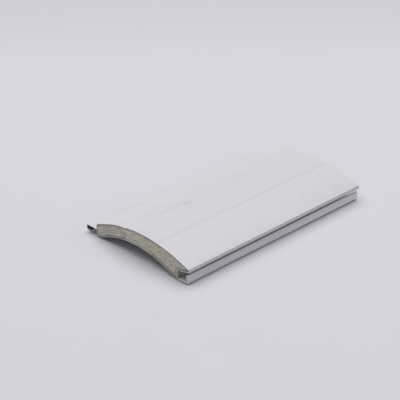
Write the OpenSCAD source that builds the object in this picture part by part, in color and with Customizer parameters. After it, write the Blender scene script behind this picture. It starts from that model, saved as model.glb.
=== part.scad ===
// Foam-filled roller shutter slat: one aluminium strip, roll-formed into a closed curved
// section with a hook along one edge and a pocket along the other, around a foam core.
// Lengths are in millimetres and angles in degrees. X runs along the slat, Y runs from the
// lip to the hook and Z points up. The section is drawn as [y, z] with its curved face up.

/* [Slat] */
// Length of the slat, from one sawn end to the other
slat_length = 100; // [20:1:6000]
// Width of the foam-filled body, from the lip edge to the wall below the shoulder
body_width = 56.1; // [45:0.1:70]
// Height from the floor to the crown of the outer face
slat_height = 12.2; // [11:0.1:14]
// Sheet thickness of the strip
sheet = 0.4; // [0.25:0.05:0.5]

/* [Curved faces] */
// Height of the outer face at the lip edge, before the lip's fold rounds it off
lip_height = 6.9; // [6.3:0.1:8.5]
// Height of the outer face at the shoulder, before the bend there rounds it off
shoulder_height = 5.7; // [5.2:0.1:7.5]
// Clear height under the arch of the inner face
arch_height = 5.9; // [4.5:0.1:6.8]
// Outside radius of the two bends that the arch stands on
foot_radius = 1.6; // [0.7:0.1:1.7]

/* [Lip and pocket] */
// Clear space inside the fold of the lip
lip_fold = 0.6; // [0.2:0.05:0.7]
// Distance that the lip stands out past the pocket wall
lip_overhang = 1; // [0.4:0.1:2]
// Downward slope of the pocket roof, from the lip inwards
roof_slope = 12; // [6:1:14]
// Clear width of the pocket
pocket_width = 5; // [3.8:0.1:5.4]
// Inside radius of the two rear corners of the pocket
pocket_corner = 0.5; // [0.2:0.1:0.9]
// Height of the folded pocket wall
wall_height = 4.2; // [3:0.1:4.3]
// Inside radius of the bend between the pocket floor and its wall, round which both layers run
wall_corner = 0.2; // [0.1:0.1:0.8]
// Distance from the rear of the pocket to the foot of the arch
heel_run = 0.8; // [0.3:0.1:2]
// Gap left between the two layers where the strip lies folded on itself
fold_gap = 0.1; // [0.05:0.01:0.2]

/* [Hook] */
// Reach of the hook, from the wall below the shoulder to its tip
hook_reach = 6.3; // [5.6:0.1:8]
// Depth of the step from the shoulder down to the top of the hook
step_depth = 2.2; // [1.4:0.1:2.5]
// Outside radius of the bend at the shoulder
shoulder_radius = 0.9; // [0.5:0.1:0.9]
// Radius in the corners where the hook leaves the body
neck_corner = 0.3; // [0.1:0.1:0.5]
// Downward slope of the hook's flange, from the body outwards
flange_slope = 0; // [0:1:6]
// Length of the seam, where the other edge of the strip lies under the flange
seam_length = 0.9; // [0.6:0.1:1.4]
// Inside radius of the two bends of the hook
hook_corner = 0.4; // [0.2:0.05:0.5]
// Straight length of the hook's leg
leg_length = 0.9; // [0.2:0.1:1.2]
// Angle that the end of the leg turns in towards the body
leg_curl = 90; // [10:5:120]
// Straight length of the sheet after that turn
curl_length = 1.5; // [0:0.1:2]

/* [Crease] */
// Distance of the crease line from the lip edge
crease_from_lip = 19; // [8:0.1:45]
// Width of the crease line
crease_width = 1.4; // [0.4:0.1:1.8]
// Depth of the crease line
crease_depth = 0.1; // [0.05:0.01:0.15]

/* [Foam] */
// Distance from the lip edge to where the foam begins
foam_from_lip = 1.2; // [1:0.1:5]

/* [Hidden] */
paint_white = [0.86, 0.86, 0.87];
foam_beige = [0.62, 0.59, 0.5];
// Largest distance between a bend and the flats that it is drawn with
flat_error = 0.004;

fold = 2 * sheet + fold_gap;
layer_offset = (sheet + fold_gap) / 2;
lip_y = -(body_width + hook_reach) / 2;
shoulder_y = lip_y + body_width;
tip_y = shoulder_y + hook_reach;

// Outer face: the circle that has its top at slat_height and falls by lip_drop and by
// shoulder_drop at the two edges of the body. The crease and the start of the foam are angles
// from its crown.
lip_drop = slat_height - lip_height;
shoulder_drop = slat_height - shoulder_height;
edge_chord = norm([body_width, lip_drop - shoulder_drop]);
outer_radius = (body_width ^ 2 + (lip_drop + shoulder_drop) ^ 2) * edge_chord
    / (2 * (lip_drop + shoulder_drop) * edge_chord + 4 * body_width * sqrt(lip_drop * shoulder_drop));
crown_from_lip = sqrt(2 * outer_radius * lip_drop - lip_drop ^ 2);
crown_y = lip_y + crown_from_lip;
outer_centre = [crown_y, slat_height - outer_radius];
outer_mid = outer_radius - sheet / 2;
crease_angle = asin((crown_from_lip - crease_from_lip) / outer_radius);
crease_half_angle = asin(crease_width / 2 / outer_radius);
foam_y = lip_y + foam_from_lip;
foam_angle = asin((crown_y - foam_y) / (outer_radius - sheet));

// Lip: a fold that touches the outer face from inside and reaches the lip edge
lip_r = sheet + lip_fold / 2;
lip_angle = asin((crown_from_lip - lip_r) / (outer_radius - lip_r));
lip_centre = outer_centre + (outer_radius - lip_r) * heading(90 + lip_angle);

// Pocket: roof, rear wall, floor and folded front wall
wall_y = lip_y + lip_overhang;
pocket_front_y = wall_y + fold;
pocket_rear_y = pocket_front_y + pocket_width;
roof_start = lip_centre + lip_r * heading(270 - roof_slope);
rear_corner_y = pocket_rear_y - pocket_corner;
rear_top = [rear_corner_y, on_slope(roof_start, roof_slope, rear_corner_y, -pocket_corner)];
rear_bottom = [rear_corner_y, fold + pocket_corner];
wall_bend = [pocket_front_y + wall_corner, fold + wall_corner];
wall_top = [wall_y + fold / 2, wall_height - fold / 2];

// Arch: a circle that touches the heel bend and the foot bend, which both stand on the floor
heel = [pocket_rear_y + sheet + heel_run, foot_radius];
foot = [shoulder_y - foot_radius, foot_radius];
half_span = (foot.x - heel.x) / 2;
foot_drop = foot_radius - arch_height;
inner_radius = (half_span ^ 2 - foot_radius ^ 2 + foot_drop ^ 2) / (2 * arch_height);
inner_centre = [heel.x + half_span, arch_height - inner_radius];
arch_angle = asin(half_span / (inner_radius + foot_radius));

// Shoulder and hook: the top of the flange lies on a sloping line through neck_point
shoulder_angle = asin((shoulder_y - shoulder_radius - crown_y) / (outer_radius - shoulder_radius));
shoulder = outer_centre + (outer_radius - shoulder_radius) * heading(90 - shoulder_angle);
neck_point = [shoulder_y, shoulder_height - step_depth];
neck_y = shoulder_y + neck_corner;
neck_over = [neck_y, on_slope(neck_point, flange_slope, neck_y, neck_corner)];
neck_under = [neck_y, on_slope(neck_point, flange_slope, neck_y, -fold - neck_corner)];
hook_y = tip_y - sheet - hook_corner;
hook_bend = [hook_y, on_slope(neck_point, flange_slope, hook_y, -sheet - hook_corner)];
curl_bend = hook_bend - [0, leg_length];
flange_turn = 90 - flange_slope;

// Radii of the middle of the sheet in each bend
lip_mid = lip_r - sheet / 2;
pocket_mid = pocket_corner + sheet / 2;
wall_in_mid = wall_corner + sheet / 2;
wall_out_mid = wall_corner + fold - sheet / 2;
foot_mid = foot_radius - sheet / 2;
shoulder_mid = shoulder_radius - sheet / 2;
neck_mid = neck_corner + sheet / 2;
hook_mid = hook_corner + sheet / 2;
arch_mid = inner_radius + sheet / 2;

// Stretches of the strip, on the way from the end of the hook's leg to the end of the seam.
// Each is a list of [left, right] points, on the two sides of the sheet. Where one stretch ends
// and the next begins, the sheet runs straight between them.
curl = bend(curl_bend, hook_mid, -leg_curl, 0);
curl_end = [for (side = curl[0]) side - curl_length * heading(90 - leg_curl)];
hook = concat(
    [curl_end],
    curl,
    bend(hook_bend, hook_mid, 0, flange_turn),
    bend(neck_over, neck_mid, 270 - flange_slope, 180)
);
shoulder_bend = bend(shoulder, shoulder_mid, 0, 90 - shoulder_angle);
outer_face = concat(
    bend(outer_centre, outer_mid, 90 - shoulder_angle, 90 + crease_angle - crease_half_angle),
    [across(outer_centre, outer_mid - crease_depth, 90 + crease_angle)],
    bend(outer_centre, outer_mid, 90 + crease_angle + crease_half_angle, 90 + foam_angle)
);
lip = concat(
    bend(outer_centre, outer_mid, 90 + foam_angle, 90 + lip_angle),
    bend(lip_centre, lip_mid, 90 + lip_angle, 270 - roof_slope)
);
pocket_rear = bend(rear_top, pocket_mid, 90 - roof_slope, 0);
pocket_front = concat(
    bend(rear_bottom, pocket_mid, 0, -90),
    bend(wall_bend, wall_in_mid, 270, 180),
    bend(wall_top, layer_offset, 0, 180),
    bend(wall_bend, wall_out_mid, 180, 270)
);
inner_face = concat(
    bend(heel, foot_mid, -90, -90 + arch_angle),
    bend(inner_centre, arch_mid, 90 + arch_angle, 90 - arch_angle),
    bend(foot, foot_mid, -90 - arch_angle, 0)
);
seam_bend = bend(neck_under, neck_mid, 180, flange_turn);
seam_end = [for (side = seam_bend[len(seam_bend) - 1]) side + seam_length * heading(-flange_slope)];

function heading(angle) = [cos(angle), sin(angle)];

// Height at y of a line that falls by slope from start, moved square to itself by offset
function on_slope(start, slope, y, offset) =
    start.y - tan(slope) * (y - start.x) + offset / cos(slope);

// The two sides of the sheet at one angle of a bend, the side near its centre first
function across(centre, radius, angle) =
    [for (side = [-1, 1]) centre + (radius + side * sheet / 2) * heading(angle)];

// A bend of the sheet, with the radius of its middle; turning left, the near side is on the left
function bend(centre, radius, from, to) =
    let (
        flat_angle = 2 * acos(1 - flat_error / radius),
        count = ceil(abs(to - from) / flat_angle),
        near = to > from ? 0 : 1
    )
    [
        for (i = [0 : count])
            let (sides = across(centre, radius, from + (to - from) * i / count))
            [sides[near], sides[1 - near]]
    ];

// One side of a stretch: 0 is its left and 1 is its right
function side_points(stretch, side) = [for (sides = stretch) sides[side]];

function reversed(points) = [for (i = [len(points) - 1 : -1 : 0]) points[i]];

// Leaves out each point that lies on the one before it, as where one bend runs into the next
function distinct(points) = [
    for (i = [0 : len(points) - 1])
        let (before = points[i == 0 ? len(points) - 1 : i - 1])
        if (norm(points[i] - before) > flat_error / 4) points[i]
];

module strip_section() {
    strip = concat(
        hook, shoulder_bend, outer_face, lip, pocket_rear, pocket_front, inner_face, seam_bend, [seam_end]
    );
    polygon(distinct(concat(side_points(strip, 0), reversed(side_points(strip, 1)))));
}

// The hollow that the foam fills, along the left side of the strip
module foam_section() {
    cavity = concat(
        side_points(concat(shoulder_bend, outer_face), 0),
        [[foam_y, on_slope(roof_start, roof_slope, foam_y, sheet)]],
        side_points(pocket_rear, 0),
        [[pocket_rear_y + sheet, sheet]],
        side_points(inner_face, 0)
    );
    polygon(distinct(cavity));
}

// Turns a [y, z] section into a length of slat, centred along X
module along_slat() {
    rotate([90, 0, 90]) linear_extrude(slat_length, center = true) children();
}

module skin() {
    color(paint_white) along_slat() strip_section();
}

module foam_core() {
    color(foam_beige) along_slat() foam_section();
}

skin();
foam_core();
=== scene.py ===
"""A sample of foam-filled roller shutter slat, dressed for rendering.

The white roll-formed strip is swept along the slat from its own section. The foam has finely
meshed sawn ends, with open cells, saw streaks, a step and a gap along the strip.
All lengths are in metres: X runs along the slat, Y from the lip to the hook, and Z up.
"""

import math

import bmesh
import bpy
import numpy as np
from mathutils import Matrix, Vector
from mathutils.geometry import delaunay_2d_cdt


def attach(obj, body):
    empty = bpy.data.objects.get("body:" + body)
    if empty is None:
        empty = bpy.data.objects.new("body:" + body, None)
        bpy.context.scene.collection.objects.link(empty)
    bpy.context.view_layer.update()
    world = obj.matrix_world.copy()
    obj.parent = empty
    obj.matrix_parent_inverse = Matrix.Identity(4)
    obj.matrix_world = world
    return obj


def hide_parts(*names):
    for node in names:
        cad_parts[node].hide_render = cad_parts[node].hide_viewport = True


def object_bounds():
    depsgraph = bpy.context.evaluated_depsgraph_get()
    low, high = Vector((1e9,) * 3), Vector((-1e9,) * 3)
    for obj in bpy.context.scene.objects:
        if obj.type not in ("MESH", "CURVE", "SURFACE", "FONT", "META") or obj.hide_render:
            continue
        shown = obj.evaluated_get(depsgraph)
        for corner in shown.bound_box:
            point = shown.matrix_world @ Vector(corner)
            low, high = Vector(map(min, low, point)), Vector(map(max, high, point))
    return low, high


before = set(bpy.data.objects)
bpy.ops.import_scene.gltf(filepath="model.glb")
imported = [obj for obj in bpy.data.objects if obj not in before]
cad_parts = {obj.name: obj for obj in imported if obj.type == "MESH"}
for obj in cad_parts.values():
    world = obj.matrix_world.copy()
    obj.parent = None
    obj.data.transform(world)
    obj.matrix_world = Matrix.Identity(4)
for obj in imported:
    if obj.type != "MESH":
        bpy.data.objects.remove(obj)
cad_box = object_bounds()

MM = 0.001
SLAT_LENGTH = cad_box[1].x - cad_box[0].x
LIP_Y = cad_box[0].y

# Places on the slat
CREASE_Y = LIP_Y + 19.0 * MM
FOAM_STEP_Y = LIP_Y + 37.1 * MM
SHOULDER_Y = LIP_Y + 56.1 * MM
CROWN_CENTRE = Vector((0, LIP_Y + 26.68 * MM, -57.62 * MM))
CROWN_RADIUS = 69.82 * MM
ARCH_CENTRE = Vector((0, LIP_Y + 31.3 * MM, -41.06 * MM))
ARCH_RADIUS = 46.96 * MM
POCKET_FRONT_Y = LIP_Y + 1.9 * MM
POCKET_REAR_Y = LIP_Y + 6.9 * MM
POCKET_ROOF_REAR = Vector((0, POCKET_REAR_Y, 4.8 * MM))
POCKET_ROOF_SLOPE = math.radians(12)
POCKET_ROOF_UP = Vector((0, math.sin(POCKET_ROOF_SLOPE), math.cos(POCKET_ROOF_SLOPE)))
WALL_TOP = 4.4 * MM
SHEET = 0.4 * MM

# Shape of the lip's nose. Each flat has the angle that it faces and its distance, as a share of
# the fold's radius.
LIP_FOLD_CENTRE = np.array((LIP_Y + 0.7 * MM, 6.43 * MM))
LIP_FOLD_RADIUS = 0.7 * MM
LIP_CRISPNESS = 24
LIP_FLATS = (
    (math.radians(112), 1.0),
    (math.radians(159), 0.68),
    (math.radians(258), 1.0),
)

# Mesh sizes of the strip
WELD = 0.002 * MM
OUTLINE_STEP = 0.8 * MM
SMOOTH_TURN = math.radians(3)
SHARP_EDGE = math.radians(32)
STRIP_ROWS = 121
ROW_CROWDING = 0.9
CUT_ROUND = 0.06 * MM
STRIP_WAVE = 0.03 * MM
STRIP_WAVELENGTH = 18 * MM
DENT_PLACE = Vector((cad_box[0].x, LIP_Y + 38.2 * MM, 11.2 * MM))
DENT_REACH = Vector((2.5, 2.6, 3.0)) * MM
DENT_DEPTH = 0.32 * MM

# Mesh sizes of the foam
FOAM_CLEARANCE = 0.02 * MM
FOAM_SPACING = 0.17 * MM
FOAM_JITTER = 0.3
FOAM_SEED = 4
FOAM_FLOW_CENTRE = Vector((0, -3.0 * MM, -54.0 * MM))
CELL_SIZE = 0.42 * MM
CELL_DEPTH = 0.14 * MM
GAP_DEPTH = 0.12 * MM
GAP_WIDTH = 0.3 * MM
STEP_DEPTH = 0.25 * MM

# Colours of the paint, as linear red, green, blue and opacity
PAINT_BY_LIP = (0.683, 0.673, 0.720, 1)
PAINT_ON_CROWN = (0.749, 0.742, 0.794, 1)
PAINT_BY_SHOULDER = (0.785, 0.781, 0.831, 1)
PAINT_ON_FLANGE = (0.728, 0.728, 0.770, 1)
# Painted light: the pocket's wall grows lighter low down and towards its far end
WALL_PAINTED_LIGHT = (0.84, 0.835, 0.87, 1)
# Painted shade on the lip's slanted nose
NOSE_PAINTED_SHADE = (0.55, 0.545, 0.57, 1)
# Painted shade on the underside of the arch, dark and greenish
ARCH_PAINTED_SHADE = (0.58, 0.595, 0.53, 1)
# Painted shade on the shoulder's bend, which dims its lit band
SHOULDER_PAINTED_SHADE = (0.52, 0.515, 0.54, 1)
PAINT_CLOUD = (0.683, 0.678, 0.712, 1)
PAINT_ROLL_MARK = (0.67, 0.665, 0.684, 1)
PAINT_SPECKLE = (0.577, 0.572, 0.595, 1)
# Painted shade along the rolled crease
CREASE_PAINTED_SHADE = (0.577, 0.567, 0.595, 1)
SCUFF_GREY = (0.30, 0.295, 0.32, 1)
# Painted shade inside the pocket: brown near the ends and black deep inside
POCKET_PAINTED_SHADE = (0.40, 0.39, 0.33, 1)
POCKET_DEEP_PAINTED_SHADE = (0.05, 0.05, 0.05, 1)
# Painted shadow where the strip meets the floor
FOOT_PAINTED_SHADOW = (0.11, 0.11, 0.115, 1)

# Scuffs and handling marks of the paint: centre, half sizes, turn about Z, and how dark
SCUFFS = (
    (Vector((-27.5, 4.4, 11.6)) * MM, Vector((8.0, 0.7, 2)) * MM, math.radians(1), 0.24),
    (Vector((-21.0, 4.1, 11.65)) * MM, Vector((4.0, 0.9, 2)) * MM, math.radians(-8), 0.22),
    (Vector((-18.2, 3.7, 11.7)) * MM, Vector((3.0, 1.6, 2)) * MM, math.radians(-12), 0.30),
    (Vector((-20.5, 6.2, 11.4)) * MM, Vector((3.6, 0.6, 2)) * MM, math.radians(2), 0.30),
    (Vector((-33.4, 3.6, 11.7)) * MM, Vector((2.4, 1.0, 2)) * MM, math.radians(20), 0.16),
    (Vector((-28.2, -26.4, 8.67)) * MM, Vector((1.4, 1.0, 2)) * MM, 0.0, 0.25),
    (Vector((41.0, -26.6, 8.6)) * MM, Vector((3.6, 2.0, 3)) * MM, math.radians(20), 0.12),
    (Vector((23.3, -22.8, 9.8)) * MM, Vector((1.2, 0.9, 2)) * MM, 0.0, 0.12),
)

# Colours of the cut metal and of the strip's back
METAL_DARK = (0.44, 0.44, 0.44, 1)
METAL_LIGHT = (0.62, 0.62, 0.61, 1)
# The outer face's cut edge is darker; the lower cut edge is lighter round its middle and darker towards
# the lip
METAL_DARKER_ON_TOP = (0.27, 0.27, 0.26, 1)
METAL_LIGHTER_LOW_MIDDLE = (0.80, 0.80, 0.78, 1)
METAL_DARKER_LOW_BY_LIP = (0.36, 0.36, 0.35, 1)
METAL_BY_POCKET = (0.72, 0.71, 0.66, 1)
METAL_AT_SHOULDER = (0.60, 0.58, 0.53, 1)
# Painted shade on the cut edges of the hook
HOOK_METAL_PAINTED_SHADE = (0.22, 0.22, 0.23, 1)
# Painted shadow on the cut edges where they meet the floor
METAL_FOOT_PAINTED_SHADOW = (0.05, 0.05, 0.05, 1)
# The back coat's dark tones also paint the shade inside the hook
BACK_DARK = (0.17, 0.17, 0.17, 1)
BACK_LIGHT = (0.25, 0.25, 0.25, 1)

# Colours of the foam
FOAM_BEIGE = (0.66, 0.60, 0.50, 1)
FOAM_GREEN = (0.62, 0.62, 0.49, 1)
FOAM_GREY = (0.640, 0.609, 0.546, 1)
FOAM_IN_WEDGE = (0.50, 0.50, 0.475, 1)
FOAM_SMOOTH = (0.69, 0.69, 0.575, 1)
FOAM_ORANGE = (0.78, 0.56, 0.33, 1)
STREAK_DARK = (0.34, 0.325, 0.27, 1)
STREAK_LIGHT = (0.90, 0.86, 0.72, 1)
CELL_LIGHT = (0.78, 0.74, 0.61, 1)
CELL_DARK = (0.30, 0.28, 0.24, 1)
# Painted shade in the foam's pits, by their depth
PIT_PAINTED_SHADE = (0.20, 0.19, 0.165, 1)
STEP_SHADE = (0.30, 0.31, 0.25, 1)
# Painted highlight on the raised edge of the foam's step
STEP_PAINTED_HIGHLIGHT = (0.85, 0.84, 0.72, 1)
GAP_SHADE = (0.24, 0.23, 0.20, 1)
ROOF_SHADE = (0.20, 0.195, 0.17, 1)

# Orange specks in the foam of the front end: centre and half sizes
FOAM_SPECKS = (
    (Vector((-50, -2.4, 8.8)) * MM, Vector((2, 0.45, 0.35)) * MM),
    (Vector((-50, -4.4, 9.4)) * MM, Vector((2, 0.4, 0.3)) * MM),
)

# Floor, light and camera
FLOOR_HALF = 2.0
FLOOR_DROP = 0.02 * MM
FLOOR_AWAY = Vector((0.68, 0.733, 0.0))
FLOOR_FADE_START = 0.16
FLOOR_FADE_END = 0.27
FLOOR_LOW = (0.704, 0.704, 0.772, 1)
FLOOR_HIGH = (0.719, 0.719, 0.786, 1)
# Painted shade on the floor behind the slat
FLOOR_FAR_PAINTED_SHADE = (0.655, 0.655, 0.716, 1)
SKY_COLOUR = (1.0, 1.01, 0.94, 1)
SKY_STRENGTH = 0.175
VIEW_AZIMUTH = math.radians(-42.87)
VIEW_ELEVATION = math.radians(27.69)
VIEW_ROLL = math.radians(-1.22)
VIEW_POSITION = Vector((-337.76, -348.20, 262.23)) * MM
FRAME_PIXELS = 400
FOCAL_PIXELS = 1299.9
SENSOR_WIDTH = 36.0


# Node helpers


def node(tree, kind, inputs=None, **settings):
    """Adds one node. An input is a plain value, or another node's output to join to it."""
    made = tree.nodes.new(kind)
    for name, value in settings.items():
        setattr(made, name, value)
    for key, value in (inputs or {}).items():
        if isinstance(value, bpy.types.NodeSocket):
            tree.links.new(value, made.inputs[key])
        else:
            made.inputs[key].default_value = value
    return made


def calc(tree, operation, first, second=0.0, clamp=False):
    inputs = {0: first, 1: second}
    return node(tree, "ShaderNodeMath", inputs, operation=operation, use_clamp=clamp).outputs[0]


def product(tree, first, *others):
    """Multiplies values, such as masks that all have to hold."""
    for other in others:
        first = calc(tree, "MULTIPLY", first, other)
    return first


def vector_calc(tree, operation, first, second):
    return node(tree, "ShaderNodeVectorMath", {0: first, 1: second}, operation=operation).outputs[0]


def length_of(tree, vector):
    return node(tree, "ShaderNodeVectorMath", {0: vector}, operation="LENGTH").outputs[1]


def reach_along(tree, vector, direction):
    """How far a vector goes in a direction of length 1."""
    inputs = {0: vector, 1: direction}
    return node(tree, "ShaderNodeVectorMath", inputs, operation="DOT_PRODUCT").outputs[1]


def from_axis(tree, position, centre):
    """Distance from the line along the slat that runs through a centre."""
    from_centre = vector_calc(tree, "SUBTRACT", position, centre)
    return length_of(tree, vector_calc(tree, "MULTIPLY", from_centre, (0, 1, 1)))


def split_xyz(tree, vector):
    return node(tree, "ShaderNodeSeparateXYZ", {0: vector}).outputs


def join_xyz(tree, x=0.0, y=0.0, z=0.0):
    return node(tree, "ShaderNodeCombineXYZ", {0: x, 1: y, 2: z}).outputs[0]


def ramp(tree, value, low, high, to_low=0.0, to_high=1.0):
    """Carries a value from one range to another, eased at both ends and held outside them."""
    inputs = {0: value, 1: low, 2: high, 3: to_low, 4: to_high}
    return node(tree, "ShaderNodeMapRange", inputs, interpolation_type="SMOOTHSTEP").outputs[0]


def mix(tree, share, below, above):
    """Lays one colour or value over another. The numbers are the places of the colour sockets."""
    inputs = {0: share, 6: below, 7: above}
    return node(tree, "ShaderNodeMix", inputs, data_type="RGBA").outputs[2]


def noise(tree, position, feature, detail=2.0, roughness=0.5, stretch=(1, 1, 1)):
    """A noise value whose features are about as large as given, stretched along the axes."""
    scaled = vector_calc(tree, "DIVIDE", position, stretch)
    inputs = {"Vector": scaled, "Scale": 1 / feature, "Detail": detail, "Roughness": roughness}
    return node(tree, "ShaderNodeTexNoise", inputs).outputs[0]


def spot(tree, position, centre, size, turn=0.0, soft=0.3):
    """A mask that is 1 inside an ellipsoid and fades to 0 at its edge."""
    inputs = {"Vector": vector_calc(tree, "SUBTRACT", position, centre), "Rotation": (0, 0, -turn)}
    turned = node(tree, "ShaderNodeMapping", inputs).outputs[0]
    return ramp(tree, length_of(tree, vector_calc(tree, "DIVIDE", turned, size)), 1.0, soft)


def new_material(name):
    """A material with its tree, its main shader and its Object coordinates."""
    made = bpy.data.materials.new(name)
    made.use_nodes = True
    tree = made.node_tree
    shader = tree.nodes["Principled BSDF"]
    position = node(tree, "ShaderNodeTexCoord").outputs["Object"]
    return made, tree, shader, position


def bump(tree, shader, height, distance, strength):
    inputs = {"Height": height, "Distance": distance, "Strength": strength}
    tree.links.new(node(tree, "ShaderNodeBump", inputs).outputs[0], shader.inputs["Normal"])


# Materials


def paint_tint(tree, position):
    """White that grows lighter from the lip to the shoulder, with clouds, roll marks and specks."""
    across = split_xyz(tree, position)[1]
    colour = mix(tree, ramp(tree, across, -22 * MM, 14 * MM), PAINT_BY_LIP, PAINT_ON_CROWN)
    colour = mix(tree, ramp(tree, across, 6 * MM, 18 * MM), colour, PAINT_BY_SHOULDER)
    flange = ramp(tree, across, SHOULDER_Y - 0.1 * MM, SHOULDER_Y + 0.2 * MM)
    colour = mix(tree, flange, colour, PAINT_ON_FLANGE)
    cloud = noise(tree, position, 14 * MM, 3.0, 0.6, (2.2, 1, 1))
    colour = mix(tree, ramp(tree, cloud, 0.35, 0.7, 0.0, 0.22), colour, PAINT_CLOUD)
    rolled = noise(tree, position, 0.9 * MM, 2.0, 0.5, (60, 1, 1))
    colour = mix(tree, ramp(tree, rolled, 0.45, 0.75, 0.0, 0.12), colour, PAINT_ROLL_MARK)
    speckle = noise(tree, position, 0.55 * MM, 1.0)
    return mix(tree, ramp(tree, speckle, 0.70, 0.80, 0.0, 0.25), colour, PAINT_SPECKLE)


def paint_marks(tree, position, colour):
    """Painted shade along the crease, and scuffs with ragged edges."""
    across = split_xyz(tree, position)[1]
    from_crease = calc(tree, "ABSOLUTE", calc(tree, "SUBTRACT", across, CREASE_Y))
    # Painted shade along the crease
    colour = mix(tree, ramp(tree, from_crease, 1.2 * MM, 0.2 * MM, 0.0, 0.36), colour, CREASE_PAINTED_SHADE)
    ragged = noise(tree, position, 1.1 * MM, 3.0, 0.65, (3, 1, 1))
    for centre, size, turn, share in SCUFFS:
        mark = spot(tree, position, centre, size, turn)
        worn = product(tree, mark, ramp(tree, ragged, 0.28, 0.56, 0.0, share))
        colour = mix(tree, worn, colour, SCUFF_GREY)
    return colour


def pocket_painted_shade(tree, position, colour):
    """Painted shade on the rear of the pocket: brown near the sawn ends, and black deep inside."""
    along, across, height = split_xyz(tree, position)
    from_end = calc(tree, "SUBTRACT", SLAT_LENGTH / 2, calc(tree, "ABSOLUTE", along))
    near_end = ramp(tree, from_end, 0.5 * MM, 5.0 * MM, 0.9, 0.15)
    far_in = ramp(tree, from_end, 6.0 * MM, 10.0 * MM, 0.0, 0.9)
    on_rear = ramp(tree, across, POCKET_REAR_Y - 1.2 * MM, POCKET_REAR_Y - 0.4 * MM)
    behind_wall = ramp(tree, across, POCKET_FRONT_Y - 0.3 * MM, POCKET_FRONT_Y)
    before_foam = ramp(tree, across, POCKET_REAR_Y + 0.3 * MM, POCKET_REAR_Y + 0.1 * MM)
    under_roof = ramp(tree, height, 5.9 * MM, 5.5 * MM)
    over_floor = ramp(tree, height, 0.6 * MM, 0.7 * MM)
    # Painted shade on the pocket's rear, darkest deep inside
    shaded = product(tree, calc(tree, "MAXIMUM", near_end, far_in), on_rear)
    shaded = product(tree, shaded, behind_wall, before_foam, under_roof, over_floor)
    colour = mix(tree, shaded, colour, POCKET_PAINTED_SHADE)
    deep = product(tree, shaded, ramp(tree, from_end, 6.0 * MM, 10.0 * MM))
    return mix(tree, deep, colour, POCKET_DEEP_PAINTED_SHADE)


def paint_folds(tree, position, colour):
    """Painted light on the pocket's wall, and painted shade on the lip's nose, the arch, the shoulder's
    bend and the foot.
    """
    along, across, height = split_xyz(tree, position)
    on_wall = ramp(tree, across, POCKET_FRONT_Y - 0.1 * MM, POCKET_FRONT_Y - 0.3 * MM)
    low_wall = ramp(tree, height, WALL_TOP, 0.8 * MM)
    far_wall = ramp(tree, along, -SLAT_LENGTH / 2, SLAT_LENGTH / 2, 0.3, 1.0)
    # Painted light on the outer face of the wall, lighter low down and towards the far end
    colour = mix(tree, product(tree, on_wall, low_wall, far_wall), colour, WALL_PAINTED_LIGHT)
    # Painted shade on the lip's nose
    nose = ramp(tree, across, LIP_Y + 0.5 * MM, LIP_Y + 0.4 * MM, 0.0, 0.8)
    nose = product(tree, nose, ramp(tree, height, 5.4 * MM, 5.6 * MM))
    colour = mix(tree, nose, colour, NOSE_PAINTED_SHADE)
    # Painted shade on the arch's underside
    from_arch = from_axis(tree, position, ARCH_CENTRE)
    in_arch = ramp(tree, from_arch, ARCH_RADIUS + 0.25 * MM, ARCH_RADIUS + 0.1 * MM)
    colour = mix(tree, in_arch, colour, ARCH_PAINTED_SHADE)
    # Painted shade on the shoulder's bend
    shoulder = ramp(tree, across, SHOULDER_Y - 1.0 * MM, SHOULDER_Y - 0.6 * MM, 0.0, 0.6)
    shoulder = product(tree, shoulder, ramp(tree, height, 4.4 * MM, 5.0 * MM))
    colour = mix(tree, shoulder, colour, SHOULDER_PAINTED_SHADE)
    # Painted contact shadow along the foot, strongest at the wall
    contact_shadow = ramp(tree, height, 0.6 * MM, 0.3 * MM, 0.0, 0.9)
    at_wall = ramp(tree, across, POCKET_FRONT_Y + 0.5 * MM, POCKET_FRONT_Y - 0.3 * MM, 0.2, 1.0)
    return mix(tree, product(tree, contact_shadow, at_wall), colour, FOOT_PAINTED_SHADOW)


def white_paint():
    """Satin white coil coating with the marks of handling, and painted light and shade."""
    made, tree, shader, position = new_material("white_paint")
    colour = paint_tint(tree, position)
    colour = paint_marks(tree, position, colour)
    colour = pocket_painted_shade(tree, position, colour)
    colour = paint_folds(tree, position, colour)
    tree.links.new(colour, shader.inputs["Base Color"])
    gloss = noise(tree, position, 6 * MM, 3.0, 0.6)
    tree.links.new(ramp(tree, gloss, 0.3, 0.75, 0.36, 0.50), shader.inputs["Roughness"])
    peel = noise(tree, position, 0.7 * MM, 2.0)
    bump(tree, shader, peel, 0.004 * MM, 0.6)
    return made


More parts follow.
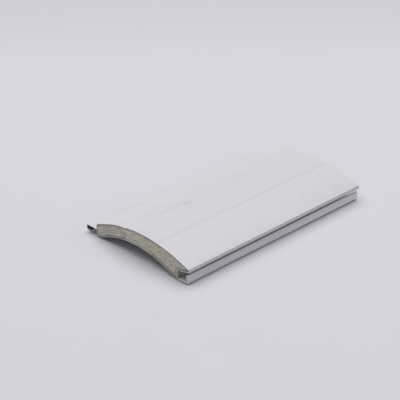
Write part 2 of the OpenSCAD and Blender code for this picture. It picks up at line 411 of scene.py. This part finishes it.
def cut_aluminium():
    """Bare sawn metal: darker along the outer face, with painted shade at the hook and where it rests on
    the floor.
    """
    made, tree, shader, position = new_material("cut_aluminium")
    _, across, height = split_xyz(tree, position)
    scratch = noise(tree, position, 0.12 * MM, 3.0, 0.6, (1, 8, 1))
    colour = mix(tree, ramp(tree, scratch, 0.3, 0.7), METAL_DARK, METAL_LIGHT)

    from_crown = from_axis(tree, position, CROWN_CENTRE)
    outer = ramp(tree, from_crown, CROWN_RADIUS - 0.7 * MM, CROWN_RADIUS - 0.45 * MM, 0.0, 0.85)
    inner = calc(tree, "SUBTRACT", 1.0, outer)
    # Darker along the outer face's cut edge
    darker_top = product(tree, outer, ramp(tree, across, 17 * MM, 13 * MM, 0.45, 1.0))
    colour = mix(tree, darker_top, colour, METAL_DARKER_ON_TOP)
    # Lighter round the middle of the lower cut edge
    from_low_middle = calc(tree, "ABSOLUTE", calc(tree, "SUBTRACT", across, 3 * MM))
    lighter_low_middle = product(tree, ramp(tree, from_low_middle, 7 * MM, 0.0, 0.0, 0.8), inner)
    colour = mix(tree, lighter_low_middle, colour, METAL_LIGHTER_LOW_MIDDLE)
    # Darker towards the lip on the lower cut edge
    darker_low_by_lip = product(tree, ramp(tree, across, -6 * MM, -11 * MM, 0.0, 0.6), inner)
    colour = mix(tree, darker_low_by_lip, colour, METAL_DARKER_LOW_BY_LIP)
    by_pocket = ramp(tree, across, POCKET_REAR_Y + 1.1 * MM, POCKET_REAR_Y + 0.5 * MM)
    by_pocket = product(tree, by_pocket, inner)
    colour = mix(tree, by_pocket, colour, METAL_BY_POCKET)
    shoulder = ramp(tree, across, SHOULDER_Y - 0.8 * MM, SHOULDER_Y - 0.5 * MM)
    colour = mix(tree, shoulder, colour, METAL_AT_SHOULDER)
    # Painted shade on the hook's cut edges
    hook = ramp(tree, across, SHOULDER_Y + 0.3 * MM, SHOULDER_Y + 0.7 * MM, 0.0, 0.9)
    hook = product(tree, hook, ramp(tree, height, 1.4 * MM, 1.7 * MM, 0.1, 1.0))
    colour = mix(tree, hook, colour, HOOK_METAL_PAINTED_SHADE)
    # Painted contact shadow on the cut edges near the floor
    contact_shadow = ramp(tree, height, 0.42 * MM, 0.22 * MM, 0.0, 0.9)
    colour = mix(tree, contact_shadow, colour, METAL_FOOT_PAINTED_SHADOW)
    tree.links.new(colour, shader.inputs["Base Color"])

    dull = product(tree, shoulder, calc(tree, "SUBTRACT", 1.0, hook))
    dull = calc(tree, "MAXIMUM", dull, by_pocket)
    tree.links.new(calc(tree, "SUBTRACT", 1.0, dull), shader.inputs["Metallic"])
    tree.links.new(ramp(tree, scratch, 0.3, 0.7, 0.5, 0.32), shader.inputs["Roughness"])
    bump(tree, shader, scratch, 0.01 * MM, 0.5)
    return made


def back_coat_and_shade():
    """The thin dull coat on the back of the strip, seen inside the hook, dark there as painted shade."""
    made, tree, shader, position = new_material("back_coat_and_shade")
    blotch = noise(tree, position, 2.5 * MM, 3.0, 0.6, (4, 1, 1))
    colour = mix(tree, ramp(tree, blotch, 0.3, 0.7), BACK_DARK, BACK_LIGHT)
    tree.links.new(colour, shader.inputs["Base Color"])
    tree.links.new(ramp(tree, blotch, 0.3, 0.7, 0.45, 0.6), shader.inputs["Roughness"])
    bump(tree, shader, noise(tree, position, 0.4 * MM, 2.0), 0.004 * MM, 0.5)
    return made


def foam_tint(tree, position):
    """Beige and green patches, paler before the step, and greyer past it and in the wedge by the lip.

    The front end has a few orange specks as well.
    """
    across = split_xyz(tree, position)[1]
    patch = noise(tree, position, 3.4 * MM, 3.0, 0.6)
    colour = mix(tree, ramp(tree, patch, 0.38, 0.62), FOAM_BEIGE, FOAM_GREEN)
    grey_side = ramp(tree, across, FOAM_STEP_Y - 0.1 * MM, FOAM_STEP_Y + 0.1 * MM, 0.0, 0.9)
    colour = mix(tree, grey_side, colour, FOAM_GREY)
    wedge = ramp(tree, across, LIP_Y + 9 * MM, LIP_Y + 4 * MM, 0.0, 0.8)
    colour = mix(tree, wedge, colour, FOAM_IN_WEDGE)
    smooth = product(
        tree,
        ramp(tree, across, FOAM_STEP_Y - 7.0 * MM, FOAM_STEP_Y - 5.5 * MM),
        ramp(tree, across, FOAM_STEP_Y - 0.1 * MM, FOAM_STEP_Y - 0.4 * MM, 0.0, 0.7),
    )
    colour = mix(tree, smooth, colour, FOAM_SMOOTH)
    for centre, size in FOAM_SPECKS:
        colour = mix(tree, spot(tree, position, centre, size), colour, FOAM_ORANGE)
    return colour


def foam_streaks(tree, position, flow, colour):
    """Saw streaks along the arch, which turn into short ridges across it towards the lip."""
    across = split_xyz(tree, position)[1]
    ridged = ramp(tree, across, 3 * MM, -7 * MM)
    ridge = noise(tree, flow, 0.7 * MM, 3.0, 0.7, (1.6, 1, 1))
    streak = noise(tree, flow, 0.5 * MM, 2.0, 0.5, (1, 12, 1))
    sawn = mix(tree, ridged, streak, ridge)
    rough = ramp(tree, across, FOAM_STEP_Y + 4 * MM, -9 * MM, 0.55, 0.72)
    dark = product(tree, ramp(tree, sawn, 0.50, 0.62), rough)
    light = product(tree, ramp(tree, sawn, 0.50, 0.39, 0.0, 0.9), rough)
    colour = mix(tree, dark, colour, STREAK_DARK)
    return mix(tree, light, colour, STREAK_LIGHT)


def foam_edges(tree, position, flow, rim, colour):
    """The shade at the step, along the gap by the strip and over the pocket's roof."""
    _, across, height = split_xyz(tree, position)
    under_step = ramp(tree, height, 8.9 * MM, 8.2 * MM)
    past_step = ramp(tree, across, FOAM_STEP_Y - 0.05 * MM, FOAM_STEP_Y + 0.1 * MM)
    shade = ramp(tree, across, FOAM_STEP_Y + 4.0 * MM, FOAM_STEP_Y + 0.8 * MM, 0.0, 0.36)
    colour = mix(tree, product(tree, shade, past_step, under_step), colour, STEP_SHADE)
    # Painted highlight on the raised edge before the step
    edge = ramp(tree, across, FOAM_STEP_Y - 0.8 * MM, FOAM_STEP_Y - 0.4 * MM, 0.0, 0.5)
    before_step = calc(tree, "SUBTRACT", under_step, past_step, clamp=True)
    colour = mix(tree, product(tree, edge, before_step), colour, STEP_PAINTED_HIGHLIGHT)

    lower = ramp(tree, split_xyz(tree, flow)[0], 63 * MM, 61 * MM)
    wide = product(tree, lower, ramp(tree, across, -6 * MM, -12 * MM))
    gap_reach = calc(tree, "ADD", 0.45 * MM, product(tree, wide, 0.75 * MM))
    gap = ramp(tree, calc(tree, "DIVIDE", rim, gap_reach), 1.0, 0.45)
    upper_share = ramp(tree, across, SHOULDER_Y - 0.8 * MM, SHOULDER_Y - 2.4 * MM, 0.0, 0.45)
    lower_share = ramp(tree, across, 8 * MM, 5 * MM, 0.15, 0.75)
    gap_share = mix(tree, lower, upper_share, lower_share)
    colour = mix(tree, product(tree, gap, gap_share), colour, GAP_SHADE)

    from_roof = vector_calc(tree, "SUBTRACT", position, POCKET_ROOF_REAR)
    over_roof = reach_along(tree, from_roof, POCKET_ROOF_UP)
    over_roof = ramp(tree, over_roof, 0.7 * MM, 0.3 * MM, 0.0, 0.8)
    before_rear = ramp(tree, across, POCKET_REAR_Y, POCKET_REAR_Y - 0.8 * MM)
    return mix(tree, product(tree, over_roof, before_rear), colour, ROOF_SHADE)


def sawn_foam():
    """Rigid foam as the saw left it: patches of colour, streaks along the arch and open cells."""
    made, tree, shader, position = new_material("sawn_foam")
    depth = node(tree, "ShaderNodeAttribute", attribute_name="pit_depth").outputs["Fac"]
    flow = node(tree, "ShaderNodeAttribute", attribute_name="saw_flow").outputs["Vector"]
    rim = node(tree, "ShaderNodeAttribute", attribute_name="from_rim").outputs["Fac"]
    colour = foam_tint(tree, position)
    colour = foam_streaks(tree, position, flow, colour)
    cells = noise(tree, position, 0.4 * MM, 2.0, 0.7)
    colour = mix(tree, ramp(tree, cells, 0.50, 0.75, 0.0, 0.5), colour, CELL_LIGHT)
    colour = mix(tree, ramp(tree, cells, 0.45, 0.25, 0.0, 0.6), colour, CELL_DARK)
    # Painted shade that darkens the deeper pits
    colour = mix(tree, ramp(tree, depth, 0.25, 0.7, 0.0, 0.7), colour, PIT_PAINTED_SHADE)
    colour = foam_edges(tree, position, flow, rim, colour)
    tree.links.new(colour, shader.inputs["Base Color"])
    shader.inputs["Roughness"].default_value = 0.9
    shader.inputs["Specular IOR Level"].default_value = 0.25
    bump(tree, shader, cells, 0.05 * MM, 0.6)
    return made


def pale_floor():
    """A matt, faintly mottled floor, with painted shade that darkens it a little behind the slat."""
    made, tree, shader, position = new_material("pale_floor")
    mottle = noise(tree, position, 30 * MM, 3.0)
    colour = mix(tree, mottle, FLOOR_LOW, FLOOR_HIGH)
    away = reach_along(tree, position, FLOOR_AWAY)
    colour = mix(tree, ramp(tree, away, FLOOR_FADE_START, FLOOR_FADE_END), colour, FLOOR_FAR_PAINTED_SHADE)
    tree.links.new(colour, shader.inputs["Base Color"])
    shader.inputs["Roughness"].default_value = 0.8
    shader.inputs["Specular IOR Level"].default_value = 0.2
    return made


# Section of the slat


def section_outline(name):
    """The [y, z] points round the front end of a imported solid, in order and turning left."""
    shape = bmesh.new()
    shape.from_mesh(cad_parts[name].data)
    bmesh.ops.remove_doubles(shape, verts=shape.verts, dist=WELD)
    facing_front = -0.9
    others = [face for face in shape.faces if face.normal.x > facing_front]
    bmesh.ops.delete(shape, geom=others, context="FACES")
    rim = [edge for edge in shape.edges if edge.is_boundary]
    start = rim[0].verts[0]
    here = start
    came_by = rim[0]
    points = []
    while True:
        points.append((here.co.y, here.co.z))
        came_by = next(edge for edge in here.link_edges if edge.is_boundary and edge != came_by)
        here = came_by.other_vert(here)
        if here == start:
            break
    shape.free()
    points = np.array(points)
    ahead = np.roll(points, -1, axis=0)
    doubled_area = np.sum(points[:, 0] * ahead[:, 1] - ahead[:, 0] * points[:, 1])
    return points if doubled_area > 0 else points[::-1]


def smooth_outline(points, step):
    """Adds points along an outline, on its curves where it turns gently and straight elsewhere."""
    ahead = np.roll(points, -1, axis=0) - points
    length = np.linalg.norm(ahead, axis=1)
    unit = ahead / length[:, None]
    before = np.roll(unit, 1, axis=0)
    turn = np.arccos(np.clip(np.sum(unit * before, axis=1), -1, 1))
    middle = unit + before
    middle /= np.linalg.norm(middle, axis=1)[:, None]
    dense = []
    for i in range(len(points)):
        j = (i + 1) % len(points)
        leave = length[i] * (middle[i] if turn[i] < SMOOTH_TURN else unit[i])
        arrive = length[i] * (middle[j] if turn[j] < SMOOTH_TURN else unit[i])
        parts = math.ceil(length[i] / step)
        for s in np.arange(parts) / parts:
            dense.append(
                (1 + 2 * s) * (1 - s) ** 2 * points[i] + s * (1 - s) ** 2 * leave
                + s * s * (3 - 2 * s) * points[j] + s * s * (s - 1) * arrive
            )
    return np.array(dense)


def inward(points):
    """For each point of an outline, the step that moves both its sides inwards by 1."""
    unit = np.roll(points, -1, axis=0) - points
    unit /= np.linalg.norm(unit, axis=1)[:, None]
    left = np.column_stack((-unit[:, 1], unit[:, 0]))
    before = np.roll(left, 1, axis=0)
    lean = np.maximum(1 + np.sum(left * before, axis=1), 0.5)
    return (left + before) / lean[:, None]


# Geometry trees


def new_tree(name, sizes):
    """An empty geometry tree with named inputs, given as pairs of a name and a socket kind."""
    tree = bpy.data.node_groups.new(name, "GeometryNodeTree")
    tree.interface.new_socket("Geometry", in_out="INPUT", socket_type="NodeSocketGeometry")
    for label, kind in sizes:
        tree.interface.new_socket(label, in_out="INPUT", socket_type="NodeSocket" + kind)
    tree.interface.new_socket("Geometry", in_out="OUTPUT", socket_type="NodeSocketGeometry")
    return tree, node(tree, "NodeGroupInput").outputs


def stored(tree, name, kind="FLOAT"):
    """A value that the starting mesh keeps at its points."""
    inputs = {"Name": name}
    return node(tree, "GeometryNodeInputNamedAttribute", inputs, data_type=kind).outputs[0]


def shifted(tree, geometry, offset):
    inputs = {"Geometry": geometry, "Offset": offset}
    return node(tree, "GeometryNodeSetPosition", inputs).outputs[0]


def finish_tree(tree, geometry, materials):
    """Ends a tree: the instances are made real, and each material goes on its share of the faces."""
    geometry = node(tree, "GeometryNodeRealizeInstances", {0: geometry}).outputs[0]
    for material, faces in materials:
        inputs = {"Geometry": geometry, "Material": material, "Selection": faces}
        geometry = node(tree, "GeometryNodeSetMaterial", inputs).outputs[0]
    node(tree, "NodeGroupOutput", {0: geometry})


def run_tree(name, start, tree, values):
    """Runs a tree on a mesh and returns its result as an object with a plain mesh."""
    piece = bpy.data.objects.new(name, start)
    bpy.context.collection.objects.link(piece)
    modifier = piece.modifiers.new("shape", "NODES")
    modifier.node_group = tree
    for item in tree.interface.items_tree:
        if item.in_out == "INPUT" and item.name in values:
            modifier[item.identifier] = values[item.name]
    graph = bpy.context.evaluated_depsgraph_get()
    result = bpy.data.meshes.new_from_object(piece.evaluated_get(graph))
    piece.modifiers.remove(modifier)
    piece.data = result
    result.name = name
    return piece


def strip_tree():
    """Sweeps a section along the slat, closes its ends, rounds their edges and adds a small dent."""
    tree, given = new_tree("swept_strip", (
        ("Length", "Float"), ("Rows", "Int"), ("Crowding", "Float"), ("Cut round", "Float"),
        ("Wave height", "Float"), ("Wavelength", "Float"),
        ("Dent place", "Vector"), ("Dent reach", "Vector"), ("Dent depth", "Float"),
        ("Paint", "Material"), ("Back coat and shade", "Material"), ("Cut metal", "Material"),
    ))
    place = node(tree, "GeometryNodeInputPosition").outputs[0]
    along = split_xyz(tree, place)[0]

    # A line of rows that crowd towards both ends, and the section swept along it
    half = product(tree, given["Length"], 0.5)
    start = join_xyz(tree, product(tree, half, -1.0))
    inputs = {"Start": start, "End": join_xyz(tree, half)}
    line = node(tree, "GeometryNodeCurvePrimitiveLine", inputs).outputs[0]
    inputs = {"Curve": line, "Count": given["Rows"]}
    line = node(tree, "GeometryNodeResampleCurve", inputs).outputs[0]
    turn = product(tree, calc(tree, "DIVIDE", along, half), math.pi)
    shift = product(tree, calc(tree, "SINE", turn), product(tree, given["Crowding"], half))
    line = shifted(tree, line, join_xyz(tree, calc(tree, "DIVIDE", shift, math.pi)))
    section = node(tree, "GeometryNodeMeshToCurve", {0: given["Geometry"]}).outputs[0]
    inputs = {"Curve": line, "Profile Curve": section, "Fill Caps": True}
    strip = node(tree, "GeometryNodeCurveToMesh", inputs).outputs[0]

    # Rounded edges of the cut
    from_end = calc(tree, "SUBTRACT", half, calc(tree, "ABSOLUTE", along))
    near_end = ramp(tree, from_end, given["Cut round"], 0.0)
    inset_size = product(tree, near_end, given["Cut round"])
    inputs = {0: stored(tree, "inward", "FLOAT_VECTOR"), "Scale": inset_size}
    inset = node(tree, "ShaderNodeVectorMath", inputs, operation="SCALE").outputs[0]
    strip = shifted(tree, strip, inset)

    # A slight wave of the thin sheet, and the dent
    inputs = {"Vector": place, "Scale": calc(tree, "DIVIDE", 1.0, given["Wavelength"]), "Detail": 1.0}
    wave = node(tree, "ShaderNodeTexNoise", inputs).outputs[0]
    lift = product(tree, calc(tree, "SUBTRACT", wave, 0.5), given["Wave height"])
    strip = shifted(tree, strip, join_xyz(tree, y=lift, z=lift))
    from_dent = vector_calc(tree, "SUBTRACT", place, given["Dent place"])
    from_dent = length_of(tree, vector_calc(tree, "DIVIDE", from_dent, given["Dent reach"]))
    sink = product(tree, ramp(tree, from_dent, 1.0, 0.0), given["Dent depth"])
    strip = shifted(tree, strip, join_xyz(tree, z=product(tree, sink, -1.0)))

    # A cut face looks along the slat. At least half the points of a face of the back are marked.
    facing = split_xyz(tree, node(tree, "GeometryNodeInputNormal").outputs[0])[0]
    least_facing = 0.5
    cut = calc(tree, "GREATER_THAN", calc(tree, "ABSOLUTE", facing), least_facing)
    least_share = 0.4
    back = calc(tree, "GREATER_THAN", stored(tree, "back_side"), least_share)
    finish_tree(tree, strip, (
        (given["Paint"], True), (given["Back coat and shade"], back), (given["Cut metal"], cut),
    ))
    return tree


def foam_tree():
    """Opens the cells of the sawn ends and cuts the step, the streaks and the gap along the strip."""
    tree, given = new_tree("open_cells", (
        ("Cell size", "Float"), ("Cell depth", "Float"), ("Gap depth", "Float"), ("Gap width", "Float"),
        ("Step depth", "Float"), ("Step place", "Float"), ("Step end", "Float"),
        ("Seed", "Float"), ("Foam", "Material"),
    ))
    place = node(tree, "GeometryNodeInputPosition").outputs[0]
    across = split_xyz(tree, place)[1]
    seeded = vector_calc(tree, "ADD", place, join_xyz(tree, given["Seed"], given["Seed"]))
    rim = stored(tree, "from_rim")
    end = stored(tree, "end")
    flow = stored(tree, "saw_flow", "FLOAT_VECTOR")

    # Cells, lumps, streaks and torn places
    inputs = {"Vector": seeded, "Scale": calc(tree, "DIVIDE", 1.0, given["Cell size"])}
    cell = node(tree, "ShaderNodeTexVoronoi", inputs).outputs["Distance"]
    depth = product(tree, ramp(tree, cell, 0.6, 0.1), given["Cell depth"])
    lumps = noise(tree, seeded, 2.6 * MM, 3.0, 0.6)
    depth = calc(tree, "ADD", depth, ramp(tree, lumps, 0.35, 0.75, 0.0, 0.12 * MM))
    streak = noise(tree, flow, 0.5 * MM, 3.0, 0.6, (1, 9, 1))
    depth = calc(tree, "ADD", depth, ramp(tree, streak, 0.45, 0.75, 0.0, 0.16 * MM))
    torn = noise(tree, seeded, 1.3 * MM, 2.0, 0.5)
    depth = calc(tree, "ADD", depth, ramp(tree, torn, 0.66, 0.78, 0.0, 0.4 * MM))

    # The gap along the strip. The depth so far is kept for the material, in millimetres.
    uneven = ramp(tree, noise(tree, seeded, 4 * MM, 2.0), 0.3, 0.55, 0.7, 1.0)
    gap = product(tree, given["Gap depth"], uneven, ramp(tree, rim, given["Gap width"], 0.0))
    depth = calc(tree, "ADD", depth, gap)
    in_mm = calc(tree, "DIVIDE", depth, MM)
    inputs = {"Geometry": given["Geometry"], "Name": "pit_depth", "Value": in_mm}
    foam = node(tree, "GeometryNodeStoreNamedAttribute", inputs, data_type="FLOAT").outputs[0]

    # The step of the front end, which closes at the wall
    past_step = calc(tree, "SUBTRACT", across, given["Step place"])
    to_wall = calc(tree, "SUBTRACT", given["Step end"], across)
    step = product(
        tree,
        ramp(tree, past_step, -0.08 * MM, 0.12 * MM),
        ramp(tree, to_wall, 0.2 * MM, 1.4 * MM),
        given["Step depth"],
        calc(tree, "LESS_THAN", end, 0.0),
    )
    depth = calc(tree, "ADD", depth, step)
    foam = shifted(tree, foam, join_xyz(tree, product(tree, end, -1.0, depth)))
    finish_tree(tree, foam, ((given["Foam"], True),))
    return tree


# Pieces


def keep_in_box(piece):
    """Holds a piece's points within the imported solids' box."""
    points = np.empty(len(piece.data.vertices) * 3)
    piece.data.vertices.foreach_get("co", points)
    points = np.clip(points.reshape(-1, 3), cad_box[0], cad_box[1])
    piece.data.vertices.foreach_set("co", points.ravel())
    piece.data.update()


def finish_surface(mesh):
    """Turns a mesh's faces outwards and shades it smooth between its sharp edges."""
    shape = bmesh.new()
    shape.from_mesh(mesh)
    bmesh.ops.recalc_face_normals(shape, faces=shape.faces)
    shape.to_mesh(mesh)
    shape.free()
    mesh.shade_smooth()
    mesh.set_sharp_from_angle(angle=SHARP_EDGE)


def flat_lip(outline):
    """Presses the round fold of the lip into a nose with a flat, slanted face, within the same reach."""
    from_fold = outline - LIP_FOLD_CENTRE
    distance = np.linalg.norm(from_fold, axis=1)
    crowding = np.zeros(len(outline))
    for angle, share in LIP_FLATS:
        facing = from_fold @ (math.cos(angle), math.sin(angle)) / distance
        crowding += (np.maximum(facing, 0) / share) ** LIP_CRISPNESS
    near = 1.02 * LIP_FOLD_RADIUS
    in_fold = (distance < near) & (outline[:, 0] < LIP_FOLD_CENTRE[0])
    scale = np.ones(len(outline))
    scale[in_fold] = crowding[in_fold] ** (-1 / LIP_CRISPNESS)
    pressed = from_fold * scale[:, None]
    pressed[in_fold, 0] *= -LIP_FOLD_RADIUS / pressed[in_fold, 0].min()
    return LIP_FOLD_CENTRE + pressed


def nearest(points, outline):
    """Distance from each point to the nearest point of an outline."""
    return np.array([np.min(np.hypot(*(outline - point).T)) for point in points])


def back_side(outline):
    """Marks the side of the strip that faces the foam: it ends where the strip itself ends."""
    ahead = np.roll(outline, -1, axis=0) - outline
    length = np.linalg.norm(ahead, axis=1)
    unit = ahead / length[:, None]
    before = np.roll(unit, 1, axis=0)
    turn = before[:, 0] * unit[:, 1] - before[:, 1] * unit[:, 0]
    square_turn = 0.9
    ends = [
        i for i in range(len(outline))
        if abs(length[i] - SHEET) < WELD and min(turn[i], turn[(i + 1) % len(outline)]) > square_turn
    ]
    first, second = ends
    marked = np.zeros(len(outline))
    marked[first + 1 : second + 1] = 1.0
    foam = section_outline("foam_core")
    close = nearest(foam, outline[marked > 0]).mean() < nearest(foam, outline[marked == 0]).mean()
    return marked if close else 1.0 - marked


def slat_strip():
    """The painted strip, swept from its section with the nose of the lip pressed flat."""
    outline = flat_lip(smooth_outline(section_outline("skin"), OUTLINE_STEP))
    count = len(outline)
    section = bpy.data.meshes.new("strip_section")
    edges = [(i, (i + 1) % count) for i in range(count)]
    section.from_pydata([(-y, -z, 0.0) for y, z in outline], edges, [])
    inset = section.attributes.new("inward", "FLOAT_VECTOR", "POINT")
    steps = np.column_stack((np.zeros(count), inward(outline)))
    inset.data.foreach_set("vector", steps.ravel())
    side = section.attributes.new("back_side", "FLOAT", "POINT")
    side.data.foreach_set("value", back_side(outline))
    piece = run_tree("slat_strip", section, strip_tree(), {
        "Length": SLAT_LENGTH, "Rows": STRIP_ROWS, "Crowding": ROW_CROWDING, "Cut round": CUT_ROUND,
        "Wave height": STRIP_WAVE, "Wavelength": STRIP_WAVELENGTH,
        "Dent place": DENT_PLACE, "Dent reach": DENT_REACH, "Dent depth": DENT_DEPTH,
        "Paint": white_paint(), "Back coat and shade": back_coat_and_shade(), "Cut metal": cut_aluminium(),
    })
    finish_surface(piece.data)
    return piece


def inside(points, outline):
    """Tells which points lie within an outline."""
    within = np.zeros(len(points), bool)
    for start, end in zip(outline, np.roll(outline, -1, axis=0)):
        crosses = (start[1] > points[:, 1]) != (end[1] > points[:, 1])
        if not crosses.any():
            continue
        rise = (points[crosses, 1] - start[1]) / (end[1] - start[1])
        within[crosses] ^= points[crosses, 0] < start[0] + rise * (end[0] - start[0])
    return within


def foam_end_points(outline):
    """Points spread over a sawn end, jittered so that the triangles follow no grid."""
    draw = np.random.default_rng(FOAM_SEED)
    low = outline.min(axis=0)
    high = outline.max(axis=0)
    columns = np.arange(low[0], high[0], FOAM_SPACING)
    rows = np.arange(low[1], high[1], FOAM_SPACING)
    points = np.array(np.meshgrid(columns, rows)).reshape(2, -1).T
    points = points + draw.uniform(-FOAM_JITTER, FOAM_JITTER, points.shape) * FOAM_SPACING
    points = points[inside(points, outline)]
    rim_distance = 0.55 * FOAM_SPACING
    return points[nearest(points, outline) > rim_distance]


def foam_block(outline):
    """The foam as a closed block with finely meshed ends, and what its tree needs at each point."""
    flat = np.vstack((outline, foam_end_points(outline)))
    loop = list(range(len(outline)))
    within_loop = 1
    smallest_gap = 1e-6
    in_mm = [Vector(point / MM) for point in flat]
    meshed = delaunay_2d_cdt(in_mm, [], [loop], within_loop, smallest_gap)
    corners, _, triangles, origins, _, _ = meshed
    points = np.array([corner[:] for corner in corners]) * MM
    place = {source: i for i, sources in enumerate(origins) for source in sources}
    rim = [place[i] for i in loop]

    total = len(points)
    front = np.column_stack((np.full(total, cad_box[0].x), points))
    far = np.column_stack((np.full(total, cad_box[1].x), points))
    faces = [tuple(reversed(t)) for t in triangles]
    faces += [tuple(total + i for i in t) for t in triangles]
    for a, b in zip(rim, rim[1:] + rim[:1]):
        faces.append((a, b, total + b, total + a))
    block = bpy.data.meshes.new("foam_block")
    block.from_pydata(np.vstack((front, far)).tolist(), [], faces)

    from_rim = np.tile(nearest(points, outline), 2)
    end = np.repeat((-1.0, 1.0), total)
    from_centre = points - np.array(FOAM_FLOW_CENTRE.yz)
    radius = np.linalg.norm(from_centre, axis=1)
    angle = np.arctan2(from_centre[:, 0], from_centre[:, 1])
    flow = np.column_stack((radius, angle * radius.mean(), np.zeros(total)))
    flow = np.vstack((flow, flow + (0, 0, SLAT_LENGTH)))
    block.attributes.new("from_rim", "FLOAT", "POINT").data.foreach_set("value", from_rim)
    block.attributes.new("end", "FLOAT", "POINT").data.foreach_set("value", end)
    saw_flow = block.attributes.new("saw_flow", "FLOAT_VECTOR", "POINT")
    saw_flow.data.foreach_set("vector", flow.ravel())
    return block


def foam_filling():
    """The foam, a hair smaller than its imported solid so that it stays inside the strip."""
    outline = section_outline("foam_core")
    outline = outline + FOAM_CLEARANCE * inward(outline)
    outline = smooth_outline(outline, FOAM_SPACING)
    piece = run_tree("foam_filling", foam_block(outline), foam_tree(), {
        "Cell size": CELL_SIZE, "Cell depth": CELL_DEPTH, "Gap depth": GAP_DEPTH, "Gap width": GAP_WIDTH,
        "Step depth": STEP_DEPTH, "Step place": FOAM_STEP_Y, "Step end": SHOULDER_Y - SHEET,
        "Seed": float(FOAM_SEED), "Foam": sawn_foam(),
    })
    finish_surface(piece.data)
    return piece


def floor():
    """A wide pale floor, just under the slat."""
    sides = ((-1, -1), (1, -1), (1, 1), (-1, 1))
    corners = [(x * FLOOR_HALF, y * FLOOR_HALF, -FLOOR_DROP) for x, y in sides]
    mesh = bpy.data.meshes.new("floor")
    mesh.from_pydata(corners, [], [(0, 1, 2, 3)])
    mesh.materials.append(pale_floor())
    made = bpy.data.objects.new("floor", mesh)
    bpy.context.collection.objects.link(made)
    return made


# Light and camera


def softbox(name, position, size, watts, colour):
    """A square lamp that looks at the slat."""
    lamp = bpy.data.lights.new(name, "AREA")
    lamp.shape = "SQUARE"
    lamp.size = size
    lamp.energy = watts
    lamp.color = colour
    made = bpy.data.objects.new(name, lamp)
    bpy.context.collection.objects.link(made)
    made.location = position
    made.rotation_euler = (-Vector(position)).to_track_quat("-Z", "Y").to_euler()


def studio_light():
    """An even sky, a large lamp overhead and a weak one that lifts the pocket's wall."""
    world = bpy.data.worlds.new("studio")
    world.use_nodes = True
    sky = world.node_tree.nodes["Background"]
    sky.inputs["Color"].default_value = SKY_COLOUR
    sky.inputs["Strength"].default_value = SKY_STRENGTH
    bpy.context.scene.world = world
    softbox("overhead", (0.13, 0.24, 1.3), size=1.9, watts=22.15, colour=(0.995, 0.99, 1.0))
    softbox("side_fill", (0.38, -1.05, 0.42), size=0.3, watts=1.05, colour=(1.0, 0.99, 0.98))


def camera():
    """Looks at the slat's front end and lip from above, tilted a little."""
    back = Vector((
        math.sin(VIEW_AZIMUTH) * math.cos(VIEW_ELEVATION),
        -math.cos(VIEW_AZIMUTH) * math.cos(VIEW_ELEVATION),
        math.sin(VIEW_ELEVATION),
    ))
    right = Vector((math.cos(VIEW_AZIMUTH), math.sin(VIEW_AZIMUTH), 0))
    axes = Matrix((right, back.cross(right), back)).transposed()
    turned = axes @ Matrix.Rotation(VIEW_ROLL, 3, "Z")
    data = bpy.data.cameras.new("camera")
    data.sensor_width = SENSOR_WIDTH
    data.lens = SENSOR_WIDTH * FOCAL_PIXELS / FRAME_PIXELS
    made = bpy.data.objects.new("camera", data)
    bpy.context.collection.objects.link(made)
    made.matrix_world = Matrix.Translation(VIEW_POSITION) @ turned.to_4x4()
    bpy.context.scene.camera = made


camera()
studio_light()
floor()

strip = slat_strip()
keep_in_box(strip)
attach(strip, "root")
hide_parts("skin")

foam = foam_filling()
keep_in_box(foam)
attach(foam, "root")
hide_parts("foam_core")

bpy.context.scene.view_settings.view_transform = "Standard"
